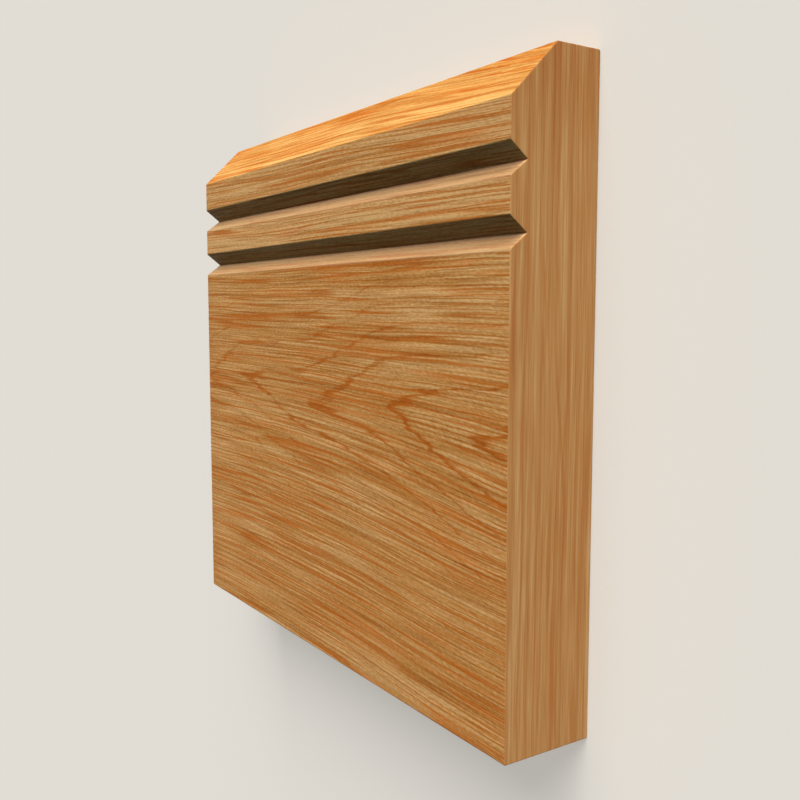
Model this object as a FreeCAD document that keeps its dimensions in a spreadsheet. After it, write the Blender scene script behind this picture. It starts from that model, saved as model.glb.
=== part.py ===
import FreeCAD, Part
import os

import Sketcher

# A short length of solid oak skirting board, sawn square at both ends.
# One piece of stock: planed to a rectangular section, bevelled along the front of its top edge, and
# machined with two parallel V-grooves under the bevel. The arrises along its length are eased.
#
# The board lies on its back, as it does on a bench:
#   X runs along the board, and the two sawn ends face -X and +X,
#   Y runs up the face, from the edge that meets the floor (-Y) to the bevelled top edge (+Y),
#   Z is the thickness: the back, which goes to the wall, is at Z = 0 and the face looks up.
# The origin is the centre of the back. All sizes are millimetres.

DIMENSIONS = [
    ("board_length", 132.5, "from one sawn end to the other"),
    ("board_height", 125.0, "from the floor edge to the top edge"),
    ("board_thickness", 20.0, "from the back to the face"),
    ("bevel_height", 10.0, "how far the bevel comes down the face"),
    ("bevel_depth", 10.0, "how far the bevel goes back into the top edge"),
    ("groove_width", 5.7, "across a V-groove's mouth"),
    ("groove_depth", 3.7, "from the face to the point of the V"),
    ("groove_setback", 20.2, "from the top edge to the point of the upper groove"),
    ("groove_spacing", 12.2, "from one groove's point to the next"),
    ("groove_count", 2, "number of V-grooves"),
    ("arris_radius", 0.3, "rounding of the arrises along the board"),
]

SHEET = "Dimensions"
ORIGIN_POINT = (-1, 1)
START = 1
END = 2
NEAR = 1e-4


def add_dimensions(doc):
    """The sheet of driving dimensions: name, value and meaning, one row each."""
    sheet = doc.addObject("Spreadsheet::Sheet", SHEET)
    for row, (alias, value, meaning) in enumerate(DIMENSIONS, start=1):
        sheet.set(f"A{row}", alias)
        sheet.set(f"B{row}", str(value))
        sheet.set(f"C{row}", meaning)
        sheet.setAlias(f"B{row}", alias)
    doc.recompute()
    return sheet


def origin_feature(body, role):
    """One of the body's own origin planes or axes."""
    return next(f for f in body.Origin.OriginFeatures if f.Role == role)


def add_section(body, name, corners):
    """A closed outline of straight lines across the board: sketch x is Y, and sketch y is Z."""
    sketch = body.newObject("Sketcher::SketchObject", name)
    sketch.AttachmentSupport = [(origin_feature(body, "YZ_Plane"), "")]
    sketch.MapMode = "FlatFace"
    points = [FreeCAD.Vector(y, z, 0) for y, z in corners]
    for first, second in zip(points, points[1:] + points[:1]):
        sketch.addGeometry(Part.LineSegment(first, second), False)
    for line in range(len(points)):
        following = (line + 1) % len(points)
        sketch.addConstraint(Sketcher.Constraint("Coincident", line, END, following, START))
    return sketch


def size(sketch, kind, first, second, name, formula):
    """A named distance between two points of an outline, bound to the sheet of dimensions."""
    point_a = sketch.getPoint(*first)
    point_b = sketch.getPoint(*second)
    drawn = point_b.x - point_a.x if kind == "DistanceX" else point_b.y - point_a.y
    index = sketch.addConstraint(Sketcher.Constraint(kind, *first, *second, drawn))
    sketch.renameConstraint(index, name)
    sketch.setExpression(f"Constraints.{name}", formula)


def add_blank(body, sheet):
    """The planed board before it is moulded: a rectangle, drawn out along X to both sides."""
    half = sheet.board_height / 2
    thick = sheet.board_thickness
    section = add_section(body, "blank_section", [(-half, 0), (half, 0), (half, thick), (-half, thick)])
    back, top_edge, face, floor_edge = range(4)
    for line in (back, face):
        section.addConstraint(Sketcher.Constraint("Horizontal", line))
    for line in (top_edge, floor_edge):
        section.addConstraint(Sketcher.Constraint("Vertical", line))
    section.addConstraint(Sketcher.Constraint("Symmetric", back, START, back, END, *ORIGIN_POINT))
    size(section, "DistanceX", (back, START), (back, END), "height", f"{SHEET}.board_height")
    size(section, "DistanceY", (top_edge, START), (top_edge, END), "thickness", f"{SHEET}.board_thickness")

    blank = body.newObject("PartDesign::Pad", "blank")
    blank.Profile = section
    blank.SideType = "Symmetric"
    blank.setExpression("Length", f"{SHEET}.board_length")
    return blank


def cut_along_board(body, name, section):
    """Takes a section off the board over its whole length."""
    cut = body.newObject("PartDesign::Pocket", name)
    cut.Profile = section
    cut.Type = "ThroughAll"
    cut.SideType = "Symmetric"
    return cut


def add_bevel(body, sheet):
    """The bevel: a triangle off the corner where the face meets the top edge."""
    half = sheet.board_height / 2
    thick = sheet.board_thickness
    corners = [(half - sheet.bevel_height, thick), (half, thick), (half, thick - sheet.bevel_depth)]
    section = add_section(body, "bevel_section", corners)
    on_face, on_top, _slope = range(3)
    section.addConstraint(Sketcher.Constraint("Horizontal", on_face))
    section.addConstraint(Sketcher.Constraint("Vertical", on_top))
    size(section, "DistanceX", ORIGIN_POINT, (on_face, END), "corner_y", f"{SHEET}.board_height / 2")
    size(section, "DistanceY", ORIGIN_POINT, (on_face, END), "corner_z", f"{SHEET}.board_thickness")
    size(section, "DistanceX", (on_face, START), (on_face, END), "bevel_height", f"{SHEET}.bevel_height")
    size(section, "DistanceY", (on_top, END), (on_top, START), "bevel_depth", f"{SHEET}.bevel_depth")
    return cut_along_board(body, "bevel", section)


def add_groove(body, sheet):
    """The upper V-groove: an isosceles triangle with its mouth on the face and its point in the board."""
    point_y = sheet.board_height / 2 - sheet.groove_setback
    half_mouth = sheet.groove_width / 2
    thick = sheet.board_thickness
    corners = [
        (point_y - half_mouth, thick),
        (point_y + half_mouth, thick),
        (point_y, thick - sheet.groove_depth),
    ]
    section = add_section(body, "groove_section", corners)
    mouth, upper_wall, lower_wall = range(3)
    section.addConstraint(Sketcher.Constraint("Horizontal", mouth))
    section.addConstraint(Sketcher.Constraint("Equal", upper_wall, lower_wall))
    size(section, "DistanceX", (mouth, START), (mouth, END), "mouth", f"{SHEET}.groove_width")
    size(section, "DistanceY", (upper_wall, END), (mouth, START), "depth", f"{SHEET}.groove_depth")
    size(section, "DistanceY", ORIGIN_POINT, (mouth, START), "face_z", f"{SHEET}.board_thickness")
    size(
        section, "DistanceX", ORIGIN_POINT, (upper_wall, END), "point_y",
        f"{SHEET}.board_height / 2 - {SHEET}.groove_setback",
    )
    return cut_along_board(body, "groove", section)


def repeat_groove(body, groove):
    """The same cutter again, one spacing nearer the floor edge for each further groove."""
    grooves = body.newObject("PartDesign::LinearPattern", "grooves")
    grooves.Originals = [groove]
    grooves.Direction = (origin_feature(body, "Y_Axis"), [""])
    grooves.Reversed = True
    grooves.Mode = "Spacing"
    grooves.setExpression("Offset", f"{SHEET}.groove_spacing")
    grooves.setExpression("Occurrences", f"{SHEET}.groove_count")
    body.Tip = grooves
    return grooves


def arris_places(sheet):
    """(Y, Z) of each convex corner of the section. The points of the grooves stay sharp."""
    half = sheet.board_height / 2
    thick = sheet.board_thickness
    places = [
        (-half, 0),
        (half, 0),
        (-half, thick),
        (half, thick - sheet.bevel_depth),
        (half - sheet.bevel_height, thick),
    ]
    for index in range(int(sheet.groove_count)):
        point_y = half - sheet.groove_setback - index * sheet.groove_spacing
        places.append((point_y - sheet.groove_width / 2, thick))
        places.append((point_y + sheet.groove_width / 2, thick))
    return places


def ease_arrises(body, moulded, sheet):
    """Rounds the arrises that run the length of the board."""
    places = arris_places(sheet)
    names = []
    for number, edge in enumerate(moulded.Shape.Edges, start=1):
        first, last = edge.Vertexes[0].Point, edge.Vertexes[-1].Point
        along = abs(first.y - last.y) < NEAR and abs(first.z - last.z) < NEAR
        if along and any(abs(first.y - y) < NEAR and abs(first.z - z) < NEAR for y, z in places):
            names.append(f"Edge{number}")
    if len(names) != len(places):
        raise RuntimeError(f"found {len(names)} arrises to ease, and the section has {len(places)}")
    eased = body.newObject("PartDesign::Fillet", "arrises")
    eased.Base = (moulded, names)
    eased.setExpression("Radius", f"{SHEET}.arris_radius")
    body.Tip = eased
    return eased


def check_removed(before, after, expected, what):
    """A cut that points the wrong way takes nothing and shows no error, so its volume is compared."""
    removed = before.Shape.Volume - after.Shape.Volume
    if abs(removed - expected) > 0.001 * expected:
        raise RuntimeError(f"{what} took {removed:.1f} mm3 off the board, and {expected:.1f} was expected")


def make_board(doc, sheet):
    """The whole board as one body."""
    body = doc.addObject("PartDesign::Body", "skirting_board")
    body.Label = "skirting_board"
    body.Placement = FreeCAD.Placement()

    blank = add_blank(body, sheet)
    doc.recompute()
    bevel = add_bevel(body, sheet)
    doc.recompute()
    groove = add_groove(body, sheet)
    doc.recompute()
    grooves = repeat_groove(body, groove)
    doc.recompute()

    bevel_volume = sheet.bevel_height * sheet.bevel_depth / 2 * sheet.board_length
    groove_volume = sheet.groove_width * sheet.groove_depth / 2 * sheet.board_length
    check_removed(blank, bevel, bevel_volume, "the bevel")
    check_removed(bevel, grooves, groove_volume * sheet.groove_count, "the grooves")

    ease_arrises(body, grooves, sheet)
    doc.recompute()
    return body


def check_document(doc):
    """A failed feature doesn't stop a recompute, so every object's state is read."""
    for item in doc.Objects:
        if "Invalid" in item.State or "Error" in item.State:
            raise RuntimeError(f"{item.Label} failed: {item.State}")


def write_step(body, folder):
    """Writes the body's solid to a file named after its label."""
    shape = body.Shape
    if shape.isNull() or not shape.isValid() or len(shape.Solids) != 1:
        raise RuntimeError(f"{body.Label} isn't one valid solid")
    shape.exportStep(os.path.join(folder, f"{body.Label}.step"))
    box = shape.BoundBox
    print(
        f"{body.Label}: {box.XLength:.2f} x {box.YLength:.2f} x {box.ZLength:.2f} mm,"
        f" {shape.Volume / 1000:.2f} cm3, {len(shape.Faces)} faces"
    )


def main():
    doc = FreeCAD.newDocument("SkirtingBoard")
    sheet = add_dimensions(doc)
    board = make_board(doc, sheet)
    check_document(doc)
    os.makedirs("parts", exist_ok=True)
    write_step(board, "parts")


main()
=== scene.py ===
"""A short length of oak skirting board, planed, moulded and lacquered, lying on its back.

The board's solid is read from model.glb. Here its surface is worked out again as one closed grid, with
eased arrises and the low relief that open-grained oak keeps after planing, and gets its finish. X runs
along the board, Y up its face and Z out of it, and the origin is the centre of the back. Lengths in the
formulas are millimetres, and meshes are in metres.
"""
import math

import bpy
import numpy as np
from bpy.props import FloatProperty, FloatVectorProperty, IntProperty, PointerProperty
from mathutils import Matrix, Vector


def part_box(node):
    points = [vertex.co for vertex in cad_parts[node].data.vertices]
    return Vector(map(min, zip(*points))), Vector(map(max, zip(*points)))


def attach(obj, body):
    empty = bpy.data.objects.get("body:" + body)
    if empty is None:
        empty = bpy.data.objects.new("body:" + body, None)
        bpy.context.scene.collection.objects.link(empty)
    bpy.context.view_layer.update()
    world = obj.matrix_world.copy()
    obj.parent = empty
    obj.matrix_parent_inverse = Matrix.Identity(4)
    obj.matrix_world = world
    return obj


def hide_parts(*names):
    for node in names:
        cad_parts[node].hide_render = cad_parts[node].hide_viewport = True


bl_info = {
    "name": "Oak skirting board",
    "version": (1, 0, 0),
    "blender": (4, 5, 0),
    "location": "3D View > Sidebar > Skirting",
    "description": "Makes a short length of moulded oak skirting, with its floor, light and camera",
    "category": "Add Mesh",
}

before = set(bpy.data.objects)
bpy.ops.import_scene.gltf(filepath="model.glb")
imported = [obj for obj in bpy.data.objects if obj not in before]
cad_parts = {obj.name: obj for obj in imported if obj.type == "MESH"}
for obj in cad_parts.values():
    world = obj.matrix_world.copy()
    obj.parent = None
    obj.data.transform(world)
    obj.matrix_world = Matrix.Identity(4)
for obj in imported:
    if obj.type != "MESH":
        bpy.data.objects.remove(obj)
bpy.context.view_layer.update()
NODE = "skirting_board"
MM = 0.001
LOW, HIGH = (np.array(corner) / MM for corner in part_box(NODE))
LENGTH, HEIGHT, THICKNESS = (float(side) for side in HIGH - LOW)


def colour_property(name, description, default):
    """A colour that is shown as a swatch."""
    return FloatVectorProperty(
        name=name, description=description, subtype="COLOR", size=3, min=0, max=1, default=default,
    )


def size_property(name, description, millimetres):
    """A length, kept in metres and shown in the scene's own unit."""
    return FloatProperty(
        name=name, description=description, subtype="DISTANCE", unit="LENGTH", min=0,
        default=millimetres * MM,
    )


class SkirtingSizes(bpy.types.PropertyGroup):
    """The moulding's own sizes. The length, height and thickness are the solid's."""

    bevel_height: size_property("Bevel height", "How far the bevel comes down the face", 10.0)
    bevel_depth: size_property("Bevel depth", "How far the bevel goes back into the top edge", 10.0)
    groove_width: size_property("Groove width", "Across the mouth of a V-groove", 5.7)
    groove_depth: size_property("Groove depth", "From the face to the point of the V", 3.7)
    groove_setback: size_property(
        "Groove setback", "From the top edge to the upper groove's point", 20.2,
    )
    groove_spacing: size_property("Groove spacing", "From one groove's point to the next", 12.2)
    groove_count: IntProperty(
        name="Grooves", description="Number of V-grooves", min=0, max=6, default=2,
    )
    arris_radius: size_property("Arris radius", "Rounding of the arrises along the board", 0.3)
    end_radius: size_property("End radius", "Softening of the rim of each sawn end", 0.12)
    relief: size_property("Relief", "Depth of the grain that planing leaves open", 0.03)


class OakColours(bpy.types.PropertyGroup):
    """The colours of lacquered oak, from the dark lines of its rings to its palest flecks, with the
    painted light and shade of its bevel and grooves.
    """

    ring_line: colour_property(
        "Ring line", "The darkest lines, at the start of a year's ring", (0.31, 0.085, 0.012),
    )
    spring_wood: colour_property(
        "Spring wood", "The open wood beside a ring line", (0.380, 0.156, 0.038),
    )
    summer_wood: colour_property(
        "Summer wood", "The close wood between the lines", (0.430, 0.208, 0.062),
    )
    pale_wood: colour_property("Pale wood", "Pale streaks along the grain", (0.485, 0.262, 0.098))
    fleck: colour_property("Fleck", "The palest flecks", (0.570, 0.352, 0.158))
    resin: colour_property("Resin", "The warm stain beside the ring lines", (0.420, 0.115, 0.014))
    end_wood: colour_property("End wood", "The drier wood of the sawn ends", (0.40, 0.228, 0.112))
    # Painted light: the bevel faces the key, and this tint paints that light's warmth into its colour.
    painted_bevel_light: colour_property(
        "Bevel tint", "Painted warm light on the bevel, which faces the key", (1.0, 0.93, 0.69),
    )
    # Painted shade: the grooves' upper walls face away from the key, and this colour darkens them.
    groove_shade: colour_property(
        "Groove shade", "What dims the grooves' upper walls", (0.38, 0.45, 0.44),
    )
    # Painted light: a pale colour mixed into the grooves' lower walls, most near the point.
    painted_groove_light: colour_property(
        "Groove light", "Painted pale light on the grooves' lower walls", (0.56, 0.38, 0.25),
    )


class StudioLook(bpy.types.PropertyGroup):
    """The floor and the light."""

    floor: colour_property("Floor", "Colour of the floor", (0.76, 0.76, 0.80))
    backdrop: colour_property("Backdrop", "What the camera sees past the floor", (0.79, 0.745, 0.66))
    floor_glow: FloatProperty(
        name="Floor glow", description="Share of the floor's look that no shadow darkens",
        min=0, max=1, default=0.5,
    )
    key_colour: colour_property("Key colour", "Colour of the soft main light", (1.0, 0.92, 0.76))
    key_strength: FloatProperty(
        name="Key", description="Strength of the soft main light", min=0, default=5.6,
    )
    key_spread: FloatProperty(
        name="Key spread", description="How wide the main light looks from the board",
        subtype="ANGLE", unit="ROTATION", min=0, default=math.radians(55),
    )
    fill_colour: colour_property("Fill colour", "Colour of the light from all round", (0.80, 0.90, 1.0))
    fill_strength: FloatProperty(
        name="Fill", description="Strength of the light from all round", min=0, default=0.26,
    )


# The rings of the log. Lengths are millimetres, roundings are their squares, and slopes are ratios.
HEART_HEIGHT, HEART_FALL = -3.0, 0.022
HEART_WAVE, HEART_WAVE_FROM, HEART_WAVE_REACH = 1.5, -62.0, 11.5
RING_WIDTH = 1.4
FIRST_RING_DEPTH = 10.26
DEPTH_SHARE = 0.8
RING_LEAN = 0.0433
SHEET_SLOPE, SHEET_ROUNDING, SHEET_CURVE = 0.13, 1.0, 0.004
SKEW_FROM, SKEW_ROUNDING, SKEW_SLOPE, SKEW_TILT = 8.0, 100.0, 0.04, 0.06

# How far the fibres fall towards +X, under the heart and at the top.
FALL_FROM, FALL_ROUNDING, FALL_SLOPE = 8.0, 150.0, 0.06
LOW_FALL_HEIGHT, LOW_FALL_SPREAD = -19.0, 16.0
TOP_FALL_HEIGHT, TOP_FALL_SPREAD, TOP_FALL_SHARE, TOP_FALL_SLOPE = 60.0, 12.0, 0.85, 0.02

# Slow waves: each one's height, its reach along and up the board, and its start.
RING_WAVES = (0.12, 14.0, 13.0, 1.3), (0.05, 8.3, -6.1, 4.0)
FIBRE_WAVES = (0.45, 24.0, 30.0, 0.9), (0.10, 9.5, -17.0, 0.0)

# The noises of the finish: grains per millimetre on X, Y and Z, detail, and a shift that sets it apart.
NOISE_ROUGHNESS = 0.55
WANDER = (0.015, 0.06, 0.06), 1.0, 0.0
JITTER = (0.06, 0.60, 0.60), 4.0, 4.0
BREAKS = (0.05, 0.30, 0.30), 2.0, 6.1
FUZZ = (0.10, 1.6, 1.6), 2.0, 91.0
RIPPLE = (0.09, 0.25, 0.25), 2.0, 57.0
BANDS = (0.010, 0.22, 0.22), 2.0, 76.2
WARM_BANDS = (0.018, 0.20, 0.20), 2.0, 81.4
THREADS = (0.013, 1.0, 1.0), 0.5, 3.0
PALE_THREADS = (0.016, 1.15, 1.15), 0.5, 71.0
FIBRE = (0.06, 2.4, 2.4), 2.0, 31.0
PORES = (0.40, 3.4, 3.4), 2.0, 11.0
GRIT = (0.9, 2.6, 2.6), 2.0, 83.0
HUE = (0.03, 0.8, 0.8), 3.0, 37.0
END_BROAD = (1.0, 0.010, 0.80), 1.5, 5.0
END_FINE = (1.0, 0.05, 2.4), 2.0, 23.0
END_THIN = (1.0, 0.08, 5.0), 1.0, 47.0
END_TINT = (1.0, 0.03, 1.6), 3.0, 61.0

# The figure. It is ragged towards -X and clean towards +X: JITTER_RINGS, ARCH_NARROWNESS and
# LINE_WIDENING give the ragged value and the clean one, and LINE_THINNING those off and on an arch.
CLEAN_ALONG, FAR_ALONG = (0.0, 30.0), (-50.0, -5.0)
JITTER_RINGS, WANDER_RINGS, FUZZ_RINGS = (0.8, 0.5), 0.1, 0.06
ARCH_REACH, ARCH_NARROWNESS, NOSE_NARROWNESS = 13.0, (1.0, 0.55), 30.0
BREAK_EDGES, MENDED_IN_ARCH = (-0.12, 0.12), 0.95
LINE_REACH, LINE_WIDENING, LINE_THINNING = 0.07, (1.8, 1.0), (1.8, 1.0)
STAIN_RISES, STAIN_FADES = (0.34, 0.49), (0.50, 0.60)

# How much of a ring shows at least: in a weak year, off the arches, in a break, and towards -X.
WEAK_YEAR, OFF_ARCH, IN_BREAK, AT_FAR_END = 0.6, 0.25, 0.3, 0.75

# Where bevel, top edge and flats start, and how strokes, threads and bands stand out of their noises.
BEVEL_EDGE, TOP_EDGE = (-0.3, 0.0), (-0.4, -0.1)
FLATS_FROM, TOP_FLAT_FROM, TOP_FLAT_SHARE = (26.5, 28.0), (40.0, 45.0), 0.9
RIPPLE_HEIGHT, PORE_SLANT = 0.4, 0.9
THREAD_REACH, PALE_THREAD_REACH, PALE_THREAD_SHIFT = 0.085, 0.09, 0.03
STROKE_EDGES, BETWEEN_STROKES, WARM_BAND_EDGES = (-0.12, 0.08), 0.25, (-0.02, 0.18)

# What each mark adds to the tone, which runs from 0 at the darkest line to 1 at the palest fleck.
PLAIN_TONE = 0.60
TONE = {
    "fibre": 0.75, "bands": 0.6, "pores": 0.55, "grit": 0.6, "pale_threads": 0.26, "threads": -0.30,
    "flats": 0.22, "ring_line": -0.55, "stain": -0.22, "warm_bands": -0.20,
}
# The first is a painted lift of the bevel's tone, as the bevel faces the key; the others set its
# grain's contrast, bands and pores.
BEVEL_PAINTED_LIFT, BEVEL_CONTRAST, BEVEL_BANDS, BEVEL_PORES = 0.03, 0.1, 0.8, 0.6
TONE_STOPS = 0.05, 0.28, 0.50, 0.72, 0.97

# What each mark adds to the warmth, and how much resin full warmth mixes in.
WARMTH = {"ring_line": 0.7, "stain": 0.5, "threads": 0.75, "warm_bands": 0.35, "hue": 3.6}
BEVEL_WARMTH, WARM_BANDS_ON_FLATS = 1.5, 0.2
FULL_WARMTH, RESIN_SHARE = 1.2, 0.7

# What each mark adds to the light that the wood gives back, and what the bevel keeps of the short ones.
# The bevel's own weight is a painted lift of light, as it faces the key.
SHADE = {"fibre": 0.35, "grit": 0.45, "threads": -0.05, "hue": 0.43, "ring_line": -0.10, "bevel": 0.04}
BEVEL_SHADE = 0.3

# A sawn end: the depth of its skin, how dry it is, and what its streaks add to the tone and warmth.
END_SKIN, END_DRYNESS = 0.06, 0.3
PLAIN_END_TONE = 0.545
END_TONE = {"broad": 1.4, "fine": 1.2, "thin": 0.6, "dark": -0.25, "top": -0.20}
END_TOP = 40.0, 58.0
END_SWAY, END_SWAY_REACH, END_SWAY_START = 0.5, 40.0, 0.8
END_QUIVER, END_QUIVER_UP, END_QUIVER_DEEP = 0.15, 11.0, 5.0
DARK_END_WARMTH, TINT_END_WARMTH = 1.2, 5.0

# Its dark streak: where it starts and bends, its distances from the back, its reach and its fraying.
DARK_START, DARK_BEND, DARK_PLACE = (-34.0, -8.0), (-22.0, 15.0), (6.8, 9.4)
DARK_REACH, DARK_FRAY = 0.6, 0.5

# The grooves' walls: their edges, the share of painted pale light mixed into a lower wall and near its
# point, and the painted shade over a lower wall, the painted glow near its point and the most that it
# brightens.
WALL_EDGES, POINT_EDGE, POINT_POWER = (0.10, 0.45), 0.1, 5.0
WALL_PAINTED_LIGHT, POINT_PAINTED_LIGHT = 0.35, 0.4
WALL_DIM, POINT_GLOW, MOST_GLOW = 0.22, 2.3, 1.7

# The lacquered surface: its roughness from the darkest tone to the palest, its gloss and its bump.
ROUGHNESS, GLOSS = (0.62, 0.50), 0.02
BUMP_HEIGHT, BUMP_STRENGTH = 0.06, 0.25


def sine(value):
    """Sine of an array or of a wire, so that one formula serves the mesh and the material."""
    return value.math("SINE") if isinstance(value, Wire) else np.sin(value)


def root(value):
    """Square root of an array or of a wire."""
    return value.math("SQRT") if isinstance(value, Wire) else np.sqrt(value)


def waves(table, x, y):
    """Sum of a table's waves: a height times the sine of x and y over its reaches, plus its start."""
    return sum(height * sine(x / along + y / up + start) for height, along, up, start in table)


def heart_line(x):
    """Height up the board of the line under the log's heart: a slow fall towards +X, and one wave."""
    return HEART_HEIGHT - HEART_FALL * x + HEART_WAVE * sine((x - HEART_WAVE_FROM) / HEART_WAVE_REACH)


def ring_count(x, y, z):
    """Years of growth at a point of the wood, in rings. A ring's dark line is at the half.

    The rings are sheets over the line under the heart, where the arches of the figure stand. A sheet's
    depth is a slope times the distance from that line, rounded over the line itself, plus a curve times
    the distance's square, and the sheets lean into the board towards +X. So the count is that depth and
    the depth of the point itself, less the lean times x, over the width of a ring. Slow waves make the
    rings sway. The skew goes smoothly from 1 towards -X to 0 towards +X. It makes the slope greater and
    tilts the sheets, so that the arches' upper arms climb more steeply there and their lower arms lie
    flatter.
    """
    off = y - heart_line(x)
    past = x - SKEW_FROM
    skew = 0.5 - 0.5 * past / root(past * past + SKEW_ROUNDING)
    sheet = (SHEET_SLOPE + SKEW_SLOPE * skew) * root(off * off + SHEET_ROUNDING)
    sheet = sheet + SHEET_CURVE * off * off - SKEW_TILT * skew * off
    depth = FIRST_RING_DEPTH + sheet + DEPTH_SHARE * (THICKNESS - z)
    return (depth - RING_LEAN * x + waves(RING_WAVES, x, y)) / RING_WIDTH


def fibre_line(x, y, top_share):
    """Height up the board that the fibre through a point would have, if all fibres ran level.

    It is y, moved by slow waves, plus how far the fibres have fallen. They fall towards +X in two
    places, as the rings do: under the heart and at the top. The fall grows with x and fades away from
    its own height, as 1 over 1 plus the distance's square. The fall at the top is times top_share.
    """
    ahead = x - FALL_FROM
    fall = FALL_SLOPE * (root(ahead * ahead + FALL_ROUNDING) + ahead)
    off_low = (y - LOW_FALL_HEIGHT) / LOW_FALL_SPREAD
    off_top = (y - TOP_FALL_HEIGHT) / TOP_FALL_SPREAD
    top_fall = top_share * (TOP_FALL_SHARE * fall + TOP_FALL_SLOPE * x) / (1 + off_top * off_top)
    return y + waves(FIBRE_WAVES, x, y) + fall / (1 + off_low * off_low) + top_fall


def weigh(weights, **marks):
    """Sum of the marks, each times the weight that a table gives it."""
    return sum(weights[name] * mark for name, mark in marks.items())


class Wire:
    """The output of a shader node, used in Python expressions that add Math nodes."""

    def __init__(self, nodes, socket):
        self.nodes = nodes
        self.socket = socket

    def math(self, operation, *others, first=None):
        """One Math node on this wire and other wires or numbers."""
        values = [self, *others] if first is None else [first, self]
        return self.nodes.add("Math", {"operation": operation}, dict(enumerate(values)))

    def __add__(self, other):
        return self.math("ADD", other)

    __radd__ = __add__

    def __sub__(self, other):
        return self.math("SUBTRACT", other)

    def __rsub__(self, other):
        return self.math("SUBTRACT", first=other)

    def __mul__(self, other):
        return self.math("MULTIPLY", other)

    __rmul__ = __mul__

    def __truediv__(self, other):
        return self.math("DIVIDE", other)

    def __rtruediv__(self, other):
        return self.math("DIVIDE", first=other)

    def __gt__(self, other):
        return self.math("GREATER_THAN", other)

    def smooth(self, low, high):
        """0 below low, 1 above high and a smooth step between."""
        return self.nodes.add(
            "MapRange", {"interpolation_type": "SMOOTHSTEP"},
            {"Value": self, "From Min": low, "From Max": high},
        )

    def ridge(self, reach):
        """1 where the wire is nought, and a smooth step down to 0 at the reach on either side."""
        return 1 - self.math("ABSOLUTE").smooth(0.0, reach)

    def blend(self, at_0, at_1):
        """A number that goes evenly from one value to another as the wire goes from 0 to 1."""
        return at_0 + (at_1 - at_0) * self


class Nodes:
    """The nodes of a material or of the world, while they are being put together."""

    def __init__(self, owner):
        owner.use_nodes = True
        self.tree = owner.node_tree
        self.tree.nodes.clear()

    def add(self, kind, settings=None, inputs=None, output=0):
        """Adds a node: its settings first, then its sockets' values or wires. Gives one output."""
        node = self.tree.nodes.new("ShaderNode" + kind)
        for name, value in (settings or {}).items():
            if name == "stops":
                ramp = node.color_ramp.elements
                while len(ramp) < len(value):
                    ramp.new(0.5)
                for stop, (position, colour) in zip(ramp, value):
                    stop.position = position
                    stop.color = (*colour, 1)
            else:
                setattr(node, name, value)
        for name, value in (inputs or {}).items():
            if isinstance(value, Wire):
                self.tree.links.new(value.socket, node.inputs[name])
            else:
                node.inputs[name].default_value = value
        return Wire(self, node.outputs[output]) if node.outputs else None

    def scale(self, vector, factor):
        """A vector or a colour times a number or a wire."""
        return self.add("VectorMath", {"operation": "SCALE"}, {0: vector, "Scale": factor})

    def mix(self, share, colour, other, how="MIX"):
        """A colour wire mixed with another colour, or multiplied by it, by a share from 0 to 1."""
        settings = {"data_type": "RGBA", "blend_type": how}
        return self.add("Mix", settings, {0: share, 6: colour, 7: (*other, 1)}, output=2)

    def place(self):
        """Position on the board in millimetres: the vector and its three parts."""
        vector = self.scale(self.add("TexCoord", output=3), 1 / MM)
        parts = [self.add("SeparateXYZ", inputs={0: vector}, output=axis) for axis in range(3)]
        return vector, parts

    def streaks(self, vector, grains, detail, shift):
        """Noise about nought, from -0.5 to 0.5, with so many grains per millimetre on each axis."""
        stretched = self.add(
            "VectorMath", {"operation": "MULTIPLY_ADD"}, {0: vector, 1: grains, 2: (shift,) * 3},
        )
        sockets = {"Vector": stretched, "Scale": 1.0, "Detail": detail, "Roughness": NOISE_ROUGHNESS}
        return self.add("TexNoise", inputs=sockets) - 0.5


def new_material(name):
    """An empty material and its nodes."""
    material = bpy.data.materials.new(name)
    return material, Nodes(material)


def groove_points(sizes):
    """Height up the board of each V-groove's point, the upper groove first."""
    below_top = (sizes.groove_setback + np.arange(sizes.groove_count) * sizes.groove_spacing) / MM
    return 0.5 * HEIGHT - below_top


def groove_walls(sizes, y, z):
    """Masks of the grooves' upper walls, of their lower walls, and of how deep a lower wall lies.

    A wall is where z equals the point's own z plus the wall's slope times the distance from the point.
    The depth is 1 at the point and falls as a power of the share of the way left to the mouth.
    """
    half_mouth, depth = 0.5 * sizes.groove_width / MM, sizes.groove_depth / MM
    upper = lower = deep = 0.0
    for point_y in groove_points(sizes):
        reach = y - float(point_y)
        off_wall = z - (THICKNESS - depth) - depth / half_mouth * reach.math("ABSOLUTE")
        wall = 1 - off_wall.math("ABSOLUTE").smooth(*WALL_EDGES)
        below = wall * (1 - reach.smooth(-POINT_EDGE, 0.0))
        left = (1 + reach / half_mouth).math("MAXIMUM", 0.0)
        upper = wall * reach.smooth(0.0, POINT_EDGE) + upper
        lower = below + lower
        deep = below * left.math("POWER", POINT_POWER) + deep
    return upper, lower, deep


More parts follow.
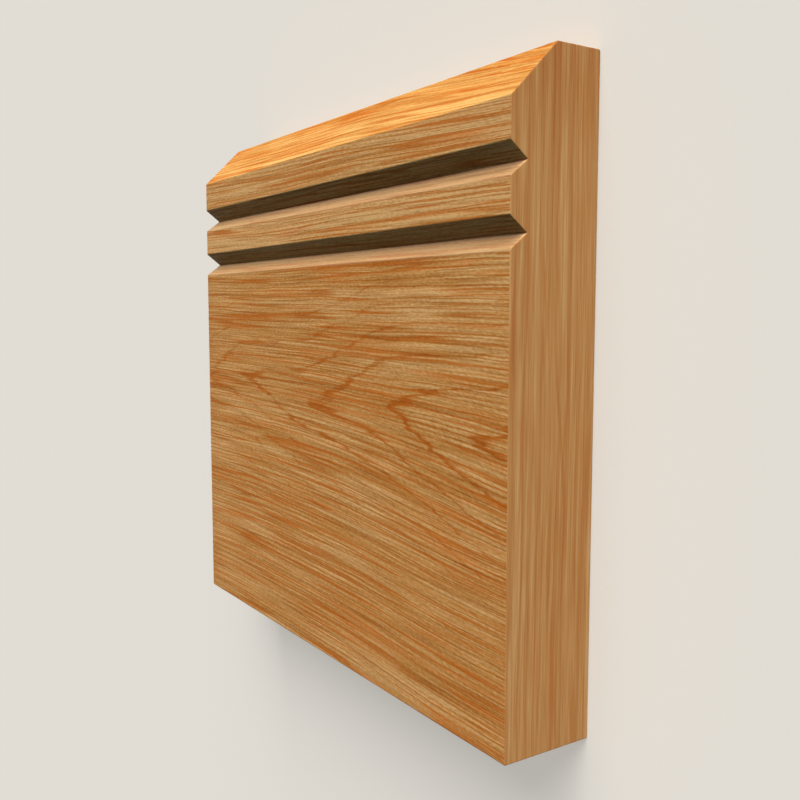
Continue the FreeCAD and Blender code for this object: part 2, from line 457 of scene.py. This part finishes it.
def oak_figure(oak, place, x, y, z):
    """The figure of the flat-sawn wood, from 0 up: each ring's dark line, and the warm stain beside it.

    The season is the part of the ring count past its whole number. The line is where the season is at
    the half, and the stain rises up to it. Both are strongest in the arches, which fade as 1 over 1
    plus the square of the distance from the heart. Away from the arches they break up, and they differ
    from year to year.
    """
    clean = x.smooth(*CLEAN_ALONG)
    jitter = clean.blend(*JITTER_RINGS) * oak.streaks(place, *JITTER)
    rings = ring_count(x, y, z) + WANDER_RINGS * oak.streaks(place, *WANDER) + jitter
    season = rings.math("FRACT")
    vigour = oak.add("TexWhiteNoise", {"noise_dimensions": "1D"}, {"W": rings.math("FLOOR")})
    from_heart = (y - heart_line(x)) / ARCH_REACH
    square = from_heart * from_heart
    arch = 1 / (1 + clean.blend(*ARCH_NARROWNESS) * square)
    nose = 1 / (1 + NOSE_NARROWNESS * square)

    whole = oak.streaks(place, *BREAKS).smooth(*BREAK_EDGES)
    whole = whole + MENDED_IN_ARCH * arch * clean * (1 - whole)
    presence = vigour.blend(WEAK_YEAR, 1.0) * arch.blend(OFF_ARCH, 1.0) * whole.blend(IN_BREAK, 1.0)
    presence = presence * x.smooth(*FAR_ALONG).blend(AT_FAR_END, 1.0)

    off_line = (season - 0.5).math("ABSOLUTE") * arch.blend(*LINE_THINNING)
    off_line = (off_line + FUZZ_RINGS * oak.streaks(place, *FUZZ)) / clean.blend(*LINE_WIDENING)
    ring_line = (1 - off_line.smooth(0.0, LINE_REACH)) * presence
    stain = season.smooth(*STAIN_RISES) * (1 - season.smooth(*STAIN_FADES)) * presence * (1 + nose)
    return ring_line, stain


def oak_end_pattern(oak, y, z):
    """Tone and warmth of the sawn end.

    Low-contrast streaks of both run up the board and sway as two sine waves do, with one dark streak
    that comes nearer to the face as it rises.
    """
    sway = END_SWAY * sine(y / END_SWAY_REACH + END_SWAY_START)
    sway = sway + END_QUIVER * sine(y / END_QUIVER_UP + z / END_QUIVER_DEEP)
    moved = oak.add("CombineXYZ", inputs={0: 0.0, 1: y, 2: z + sway})
    broad, fine, thin, tint = (
        oak.streaks(moved, *noise) for noise in (END_BROAD, END_FINE, END_THIN, END_TINT)
    )
    off_dark = z - y.smooth(*DARK_BEND).blend(*DARK_PLACE) + DARK_FRAY * fine
    dark = off_dark.ridge(DARK_REACH) * y.smooth(*DARK_START)
    top = y.smooth(*END_TOP)
    tone = PLAIN_END_TONE + weigh(END_TONE, broad=broad, fine=fine, thin=thin, dark=dark, top=top)
    return tone, DARK_END_WARMTH * (0.5 - tone) + TINT_END_WARMTH * tint


def oak_finish(colours, sizes):
    """Lacquered oak: figure, fibres, threads, pores and flecks, all by place in the wood, with painted
    light on the bevel and painted light and shade in the grooves.
    """
    material, oak = new_material("lacquered_oak")
    place, (x, y, z) = oak.place()
    half = 0.5 * HEIGHT
    on_end = x.math("ABSOLUTE") > 0.5 * LENGTH - END_SKIN
    on_side = 1 - on_end
    bevel = (y + z - (half - sizes.bevel_height / MM + THICKNESS)).smooth(*BEVEL_EDGE)
    flats = y.smooth(*FLATS_FROM) * y.smooth(*TOP_FLAT_FROM).blend(1.0, TOP_FLAT_SHARE) * (1 - bevel)
    ring_line, stain = oak_figure(oak, place, x, y, z)

    level = z + bevel * (THICKNESS - z)
    top_edge = (y - half).smooth(*TOP_EDGE)
    fibre_y = fibre_line(x, y, bevel + (1 - bevel) * (1 - top_edge))
    fibre_y = fibre_y + RIPPLE_HEIGHT * oak.streaks(place, *RIPPLE)
    along = oak.add("CombineXYZ", inputs={0: x, 1: fibre_y, 2: level})
    slanted = oak.add("CombineXYZ", inputs={0: x + PORE_SLANT * y, 1: fibre_y, 2: level})
    bands, fibre, hue = (oak.streaks(along, *noise) for noise in (BANDS, FIBRE, HUE))
    pores, grit = (oak.streaks(slanted, *noise) for noise in (PORES, GRIT))
    warm_bands = oak.streaks(along, *WARM_BANDS).smooth(*WARM_BAND_EDGES)
    threads = oak.streaks(along, *THREADS).ridge(THREAD_REACH)
    pale_threads = (oak.streaks(along, *PALE_THREADS) + PALE_THREAD_SHIFT).ridge(PALE_THREAD_REACH)

    strokes = pores.smooth(*STROKE_EDGES).blend(BETWEEN_STROKES, 1.0)
    kept_pores, kept_shade = bevel.blend(1.0, BEVEL_PORES), bevel.blend(1.0, BEVEL_SHADE)
    side = PLAIN_TONE + weigh(
        TONE, fibre=fibre, bands=bands, pores=pores * kept_pores, grit=grit * kept_pores,
        pale_threads=pale_threads, threads=threads, flats=flats, ring_line=ring_line * strokes,
        stain=stain * strokes, warm_bands=warm_bands * strokes * (1 - flats),
    )
    # On the bevel: a painted lift of light, and more contrast and bands in its grain.
    side = side + bevel * (BEVEL_PAINTED_LIFT + BEVEL_CONTRAST * (side - 0.5) + BEVEL_BANDS * bands)
    end, end_warmth = oak_end_pattern(oak, y, z)
    tone = side * on_side + end * on_end
    ramp = colours.ring_line, colours.spring_wood, colours.summer_wood, colours.pale_wood, colours.fleck
    colour = oak.add("ValToRGB", {"stops": list(zip(TONE_STOPS, ramp))}, {0: tone})

    warmth = BEVEL_WARMTH * bevel * (0.5 - side) + weigh(
        WARMTH, ring_line=ring_line, stain=stain, threads=threads,
        warm_bands=warm_bands * flats.blend(1.0, WARM_BANDS_ON_FLATS), hue=hue,
    )
    warmth = (warmth * on_side + end_warmth * on_end).smooth(0.0, FULL_WARMTH)
    colour = oak.mix(RESIN_SHARE * warmth, colour, colours.resin)
    colour = oak.mix(END_DRYNESS * on_end, colour, colours.end_wood)
    # Painted warm light on the bevel, which faces the key.
    colour = oak.mix(bevel * on_side, colour, colours.painted_bevel_light, "MULTIPLY")
    # The bevel's weight here is a painted lift of light.
    shade = weigh(
        SHADE, fibre=fibre * kept_shade, grit=grit * kept_shade, threads=threads, hue=hue,
        ring_line=ring_line, bevel=bevel,
    )
    colour = oak.scale(colour, 1 + shade * on_side)

    upper_wall, lower_wall, deep = groove_walls(sizes, y, z)
    # How much pale painted light the lower walls get, most near the point.
    groove_painted_light = WALL_PAINTED_LIGHT * lower_wall + POINT_PAINTED_LIGHT * deep
    # Painted shade over the lower walls, which face the key, and painted light near their points, where
    # the groove shades them.
    glow = POINT_GLOW * deep - WALL_DIM * lower_wall
    # Painted shade on the grooves' upper walls, which face away from the key.
    colour = oak.mix(upper_wall * on_side, colour, colours.groove_shade, "MULTIPLY")
    # Pale painted light on the grooves' lower walls.
    colour = oak.mix(groove_painted_light * on_side, colour, colours.painted_groove_light)
    colour = oak.scale(colour, (1 + glow * on_side).math("MINIMUM", MOST_GLOW))

    bump = oak.add(
        "Bump", inputs={"Strength": BUMP_STRENGTH, "Distance": BUMP_HEIGHT * MM, "Height": tone},
    )
    surface = oak.add(
        "BsdfPrincipled",
        inputs={
            "Base Color": colour, "Roughness": tone.blend(*ROUGHNESS), "Normal": bump,
            "Specular IOR Level": GLOSS,
        },
    )
    oak.add("OutputMaterial", inputs={"Surface": surface})
    return material


# The grid of the skin, in millimetres. A flat side's first and last points lie SUPPORT from its ends.
STEP_ACROSS, STEP_ALONG, STEP_BACK = 0.48, 1.2, 1.0
SUPPORT = 0.08
CORNER_STEPS = 5
TOUCHING = 1e-6

# How an end closes: the angles of its rim in degrees, and each ring's share of the way out to the rim.
RIM_ANGLES = 90.0, 60.0, 30.0
CLOSING_SHARES = 0.0, 0.2, 0.4, 0.6, 0.8, 0.97
CLOSING_MARGIN, CLOSING_POWER, CLOSING_SPREAD = 5.0, 5, 0.1

# The relief: how sharp its dips are, and how a wave along the board breaks them up.
DIP_POWER = 3
DIP_MEAN, DIP_WAVE, DIP_WAVE_REACH, DIP_WAVE_TURNS = 0.6, 0.4, 3.1, 5.0
DIP_BEND, DIP_BEND_REACH = 2.3, 2.0


def arc(centre, radius, start, turn, steps):
    """Points of an arc: the centre plus the radius at angles from start to start + turn, in degrees."""
    angles = np.radians(np.linspace(start, start + turn, steps))
    return np.stack([centre[0] + radius * np.cos(angles), centre[1] + radius * np.sin(angles)], 1)


def round_corners(corners, radii):
    """An open outline with each inner corner rounded by an arc that touches both its sides.

    The arc's centre lies on the corner's bisector, radius / sin(half the corner's angle) from it, and
    its ends are radius / tan(half the angle) along the sides. A radius of nothing keeps the corner.
    """
    points = [corners[:1]]
    for before, corner, after, radius in zip(corners, corners[1:], corners[2:], radii):
        if radius == 0:
            points.append(corner[None])
            continue
        back = (before - corner) / np.linalg.norm(before - corner)
        ahead = (after - corner) / np.linalg.norm(after - corner)
        half = 0.5 * math.acos(float(back @ ahead))
        inwards = (back + ahead) / np.linalg.norm(back + ahead)
        centre = corner + inwards * radius / math.sin(half)
        first = corner + back * radius / math.tan(half) - centre
        last = corner + ahead * radius / math.tan(half) - centre
        start = math.degrees(math.atan2(first[1], first[0]))
        turn = math.degrees(math.atan2(first[0] * last[1] - first[1] * last[0], float(first @ last)))
        points.append(arc(centre, radius, start, turn, CORNER_STEPS))
    points.append(corners[-1:])
    return np.concatenate(points)


def divide(outline, step):
    """The outline with points put on its longer sides, evenly and at most a step apart.

    The first and the last lie SUPPORT from the side's ends, so that a flat side shades flat up to them.
    """
    pieces = []
    for start, end in zip(outline, outline[1:]):
        length = float(np.linalg.norm(end - start))
        at = np.zeros(1)
        if length > step:
            inner = np.linspace(SUPPORT, length - SUPPORT, math.ceil(length / step))
            at = np.append(at, inner / length)
        pieces.append(start + (end - start) * at[:, None])
    return np.concatenate([*pieces, outline[-1:]])


def section_run(sizes):
    """The moulded half of the section, from the middle of the floor edge over the face to the top."""
    half = 0.5 * HEIGHT
    arris = sizes.arris_radius / MM
    bevel_foot, edge_front = half - sizes.bevel_height / MM, THICKNESS - sizes.bevel_depth / MM
    half_mouth, depth = 0.5 * sizes.groove_width / MM, sizes.groove_depth / MM
    corners = [(-half, 0.5 * THICKNESS), (-half, THICKNESS)]
    radii = [arris]
    for point_y in groove_points(sizes)[::-1]:
        corners += [
            (point_y - half_mouth, THICKNESS),
            (point_y, THICKNESS - depth),
            (point_y + half_mouth, THICKNESS),
        ]
        radii += [arris, 0.0, arris]
    corners += [(bevel_foot, THICKNESS), (half, edge_front), (half, 0.5 * edge_front)]
    radii += [arris, arris]
    return divide(round_corners(np.array(corners), radii), STEP_ACROSS)


def back_run(sizes, count):
    """The plain half of the section, round the back, with as many points as the moulded half.

    The points that the outline lacks are shared out evenly along the back, by their reach, which is the
    length of the outline up to each point.
    """
    half = 0.5 * HEIGHT
    arris = sizes.arris_radius / MM
    top_middle = 0.5 * (THICKNESS - sizes.bevel_depth / MM)
    corners = np.array([(-half, 0.5 * THICKNESS), (-half, 0.0), (half, 0.0), (half, top_middle)])
    outline = divide(round_corners(corners, [arris, arris]), STEP_BACK)
    spare = count - len(outline)
    reach = np.append(0.0, np.linalg.norm(np.diff(outline, axis=0), axis=1).cumsum())
    on_back = (outline[:, 1] < TOUCHING).nonzero()[0]
    first, last = on_back[0], on_back[-1]
    inner = np.linspace(reach[first], reach[last], last - first + 1 + spare)
    wanted = np.concatenate([reach[:first], inner, reach[last + 1:]])
    return np.stack([np.interp(wanted, reach, outline[:, axis]) for axis in range(2)], 1)


def outward_normals(loop):
    """Unit normals of a closed loop of (Y, Z) points: the chord past each point, turned a quarter."""
    chord = np.roll(loop, -1, axis=0) - np.roll(loop, 1, axis=0)
    normal = np.stack([-chord[:, 1], chord[:, 0]], 1)
    return normal / np.linalg.norm(normal, axis=1, keepdims=True)


def closing_line(moulded):
    """The line inside the section on which an end closes, one point for each of the moulded half.

    It lies midway between the face and the back. Its y is the moulded half's own, drawn in near the
    edges by the margin * (2y / height) to a power, and spread a little by the point's number, so that
    no two meet.
    """
    y = moulded[:, 0] - CLOSING_MARGIN * (2 * moulded[:, 0] / HEIGHT) ** CLOSING_POWER
    y = (1 - CLOSING_SPREAD) * y + CLOSING_SPREAD * np.linspace(y[0], y[-1], len(y))
    order = np.unique(moulded[:, 0], return_index=True)[1]
    return np.stack([y, 0.5 * np.interp(y, moulded[order, 0], moulded[order, 1])], 1)


def grain_relief(x, y, z):
    """Height of the planed grain, from -1 to 0: the open wood at the start of each ring lies lower.

    Each ring is a smooth dip: a half and half the cosine of the ring count's turn, raised to a power.
    It is broken up by a sine wave along the board, which bends with y and differs from ring to ring.
    """
    turn = 2 * np.pi * ring_count(x, y, z)
    dip = (0.5 + 0.5 * np.cos(turn)) ** DIP_POWER
    bend = DIP_BEND * np.sin(y / DIP_BEND_REACH)
    broken = DIP_MEAN + DIP_WAVE * np.sin(x / DIP_WAVE_REACH + bend + turn / DIP_WAVE_TURNS)
    return -dip * broken


def board_surface(sizes):
    """The whole skin of the board as one closed grid of rings of points.

    Each ring is the section, laid at its own x, and its skin is moved along the normals by the grain's
    relief. Along the board the rings are full size and evenly spaced. At an end the section first
    shrinks by end_radius * (1 - cos a) while x grows by end_radius * sin a, which rounds the rim. Then
    it closes on the line that closing_line gives, as point = line + t * (rim - line) with t going from
    1 to 0, where the two halves of the ring meet and share their points.
    """
    moulded = section_run(sizes)
    back = back_run(sizes, len(moulded))
    loop = np.concatenate([moulded, back[-2:0:-1]])
    normal = outward_normals(loop)
    spine = closing_line(moulded)
    spine = np.concatenate([spine, spine[-2:0:-1]])

    rim = sizes.end_radius / MM
    lean = np.radians(RIM_ANGLES)
    closing = np.array(CLOSING_SHARES)
    flat_end = 0.5 * LENGTH - rim
    inner = np.linspace(SUPPORT - flat_end, flat_end - SUPPORT, int(LENGTH / STEP_ALONG))
    along = np.concatenate([[-flat_end], inner, [flat_end]])
    x_end = 0.5 * LENGTH - rim * np.concatenate([0 * closing, 1 - np.sin(lean)])
    inset_end = rim * np.concatenate([0 * closing + 1, 1 - np.cos(lean)])
    t_end = np.concatenate([closing, 0 * lean + 1])
    x = np.concatenate([-x_end, along, x_end[::-1]])[:, None]
    inset = np.concatenate([inset_end, 0 * along, inset_end[::-1]])[:, None, None]
    t = np.concatenate([t_end, 0 * along + 1, t_end[::-1]])[:, None, None]

    flat_x = x + 0 * loop[None, :, 0]
    relief = sizes.relief / MM * grain_relief(flat_x, loop[None, :, 0], loop[None, :, 1])
    skin = loop + normal * (relief[..., None] - inset)
    points = np.concatenate([flat_x[..., None], spine + t * (skin - spine)], 2)

    rings, per_ring = points.shape[:2]
    index = np.arange(rings * per_ring).reshape(rings, per_ring)
    mirror = (-np.arange(per_ring)) % per_ring
    folded = np.minimum(np.arange(per_ring), mirror)
    index[0], index[-1] = index[0, folded], index[-1, folded]
    ahead = np.roll(index, -1, axis=1)
    quads = np.stack([index[:-1], index[1:], ahead[1:], ahead[:-1]], 2).reshape(-1, 4)
    return points.reshape(-1, 3) * MM, quads


SHARP_ANGLE = math.radians(40)


def solid_mesh(name, points, faces):
    """A mesh from arrays of points and four-sided faces, without the points that no face uses."""
    used, inverse = np.unique(faces, return_inverse=True)
    points, faces = points[used], inverse.reshape(faces.shape).astype(np.int32)
    mesh = bpy.data.meshes.new(name)
    mesh.vertices.add(len(points))
    mesh.vertices.foreach_set("co", points.ravel())
    mesh.loops.add(faces.size)
    mesh.loops.foreach_set("vertex_index", faces.ravel())
    mesh.polygons.add(len(faces))
    mesh.polygons.foreach_set("loop_start", np.arange(0, faces.size, 4, dtype=np.int32))
    mesh.update(calc_edges=True)
    mesh.validate()
    mesh.polygons.foreach_set("use_smooth", np.ones(len(faces), dtype=bool))
    mesh.set_sharp_from_angle(angle=SHARP_ANGLE)
    return mesh


class MESH_OT_oak_board(bpy.types.Operator):
    """Makes the board's skin round the solid, and gives it its oak finish"""

    bl_idname = "skirting.oak_board"
    bl_label = "Oak board"
    bl_options = {"REGISTER", "UNDO"}

    def execute(self, context):
        scene = context.scene
        points, faces = board_surface(scene.skirting_sizes)
        board = bpy.data.objects.new("oak_board", solid_mesh("oak_board", points, faces))
        scene.collection.objects.link(board)
        board.data.materials.append(oak_finish(scene.skirting_colours, scene.skirting_sizes))
        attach(board, "root")
        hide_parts(NODE)
        return {"FINISHED"}


# The floor: its radius in metres, its sides, its gap under the board's back, and its paint.
FLOOR_RADIUS, FLOOR_SIDES, FLOOR_GAP = 6.0, 96, 0.1 * MM
FLOOR_ROUGHNESS, FLOOR_GLOSS = 0.9, 0.1

# The main light's direction, the camera's place, turn and dip, and the nearest it shows, in metres.
KEY_FROM = Vector((0.25, 0.845, 0.40))
CAMERA_PLACE = Vector((187.78, 16.89, 121.95)) * MM
CAMERA_TURN, CAMERA_DIP = math.radians(56.63), math.radians(5.38)
NEAREST = 0.01

# The lens: its focal length and the picture's side in pixels, and the sensor's side in millimetres.
FOCAL_PIXELS, PICTURE_PIXELS, SENSOR_SIDE = 937.2, 800, 36


def floor_disc():
    """A flat round floor: points at the radius times the cosine and sine of evenly spaced angles."""
    angles = np.linspace(0, 2 * np.pi, FLOOR_SIDES, endpoint=False)
    across, along = FLOOR_RADIUS * np.cos(angles), FLOOR_RADIUS * np.sin(angles)
    rim = np.stack([across, along, 0 * angles - FLOOR_GAP], 1)
    mesh = bpy.data.meshes.new("floor")
    mesh.from_pydata(rim.tolist(), [], [list(range(FLOOR_SIDES))])
    return mesh


def backdrop_seen(nodes):
    """1 where the camera sees a surface, straight, in gloss or through glass, and 0 for other rays."""
    camera, glossy, glass = (
        nodes.add("LightPath", output=f"Is {kind} Ray") for kind in ("Camera", "Glossy", "Transmission")
    )
    return camera.math("MAXIMUM", glossy).math("MAXIMUM", glass)


def floor_finish(look):
    """Matt painted floor of one plain colour, partly lit from within so that its shadows stay pale."""
    material, paint = new_material("pale_floor")
    matt = paint.add(
        "BsdfPrincipled",
        inputs={
            "Base Color": (*look.floor, 1), "Roughness": FLOOR_ROUGHNESS,
            "Specular IOR Level": FLOOR_GLOSS,
        },
    )
    glow = paint.add("Emission", inputs={"Color": (*look.backdrop, 1)})
    seen = look.floor_glow * backdrop_seen(paint)
    surface = paint.add("MixShader", inputs={0: seen, 1: matt, 2: glow})
    paint.add("OutputMaterial", inputs={"Surface": surface})
    return material


def light_the_world(scene, look):
    """Even light from all round, and a plain pale backdrop where the camera looks past the floor."""
    world = bpy.data.worlds.new("studio")
    scene.world = world
    air = Nodes(world)
    fill = air.add(
        "Background", inputs={"Color": (*look.fill_colour, 1), "Strength": look.fill_strength},
    )
    plain = air.add("Background", inputs={"Color": (*look.backdrop, 1)})
    seen = air.add("MixShader", inputs={0: backdrop_seen(air), 1: fill, 2: plain})
    air.add("OutputWorld", inputs={"Surface": seen})


class SCENE_OT_skirting_stage(bpy.types.Operator):
    """Lays the pale floor, hangs the soft light and sets up the camera"""

    bl_idname = "skirting.stage"
    bl_label = "Floor, light and camera"
    bl_options = {"REGISTER", "UNDO"}

    def execute(self, context):
        scene = context.scene
        look = scene.skirting_look
        floor = bpy.data.objects.new("floor", floor_disc())
        floor.data.materials.append(floor_finish(look))
        scene.collection.objects.link(floor)

        key = bpy.data.lights.new("soft_key", "SUN")
        key.color = look.key_colour
        key.energy = look.key_strength
        key.angle = look.key_spread
        lamp = bpy.data.objects.new("soft_key", key)
        lamp.rotation_mode = "QUATERNION"
        lamp.rotation_quaternion = KEY_FROM.to_track_quat("Z", "Y")
        scene.collection.objects.link(lamp)
        light_the_world(scene, look)

        camera = bpy.data.objects.new("camera", bpy.data.cameras.new("camera"))
        camera.data.sensor_width = SENSOR_SIDE
        camera.data.lens = FOCAL_PIXELS / PICTURE_PIXELS * SENSOR_SIDE
        camera.data.clip_start = NEAREST
        ahead = Vector((
            -math.sin(CAMERA_TURN) * math.cos(CAMERA_DIP),
            -math.sin(CAMERA_DIP),
            -math.cos(CAMERA_TURN) * math.cos(CAMERA_DIP),
        ))
        right = ahead.cross(Vector((0, 1, 0))).normalized()
        turned = Matrix((right, right.cross(ahead), -ahead)).transposed().to_4x4()
        camera.matrix_world = Matrix.Translation(CAMERA_PLACE) @ turned
        scene.collection.objects.link(camera)
        scene.camera = camera
        scene.view_settings.view_transform = "Standard"
        return {"FINISHED"}


class VIEW3D_PT_skirting(bpy.types.Panel):
    """Lists the sizes, the colours and the steps in order"""

    bl_label = "Skirting board"
    bl_space_type = "VIEW_3D"
    bl_region_type = "UI"
    bl_category = "Skirting"

    def draw(self, context):
        layout, scene = self.layout, context.scene
        for group in (scene.skirting_sizes, scene.skirting_colours, scene.skirting_look):
            box = layout.box()
            for name in group.__annotations__:
                box.prop(group, name)
        layout.operator(MESH_OT_oak_board.bl_idname)
        layout.operator(SCENE_OT_skirting_stage.bl_idname)


CLASSES = (
    SkirtingSizes, OakColours, StudioLook,
    MESH_OT_oak_board, SCENE_OT_skirting_stage, VIEW3D_PT_skirting,
)


def register():
    for item in CLASSES:
        bpy.utils.register_class(item)
    bpy.types.Scene.skirting_sizes = PointerProperty(type=SkirtingSizes)
    bpy.types.Scene.skirting_colours = PointerProperty(type=OakColours)
    bpy.types.Scene.skirting_look = PointerProperty(type=StudioLook)


def unregister():
    del bpy.types.Scene.skirting_look
    del bpy.types.Scene.skirting_colours
    del bpy.types.Scene.skirting_sizes
    for item in reversed(CLASSES):
        bpy.utils.unregister_class(item)


def main():
    register()
    bpy.ops.skirting.stage()
    bpy.ops.skirting.oak_board()


if __name__ == "__main__":
    main()
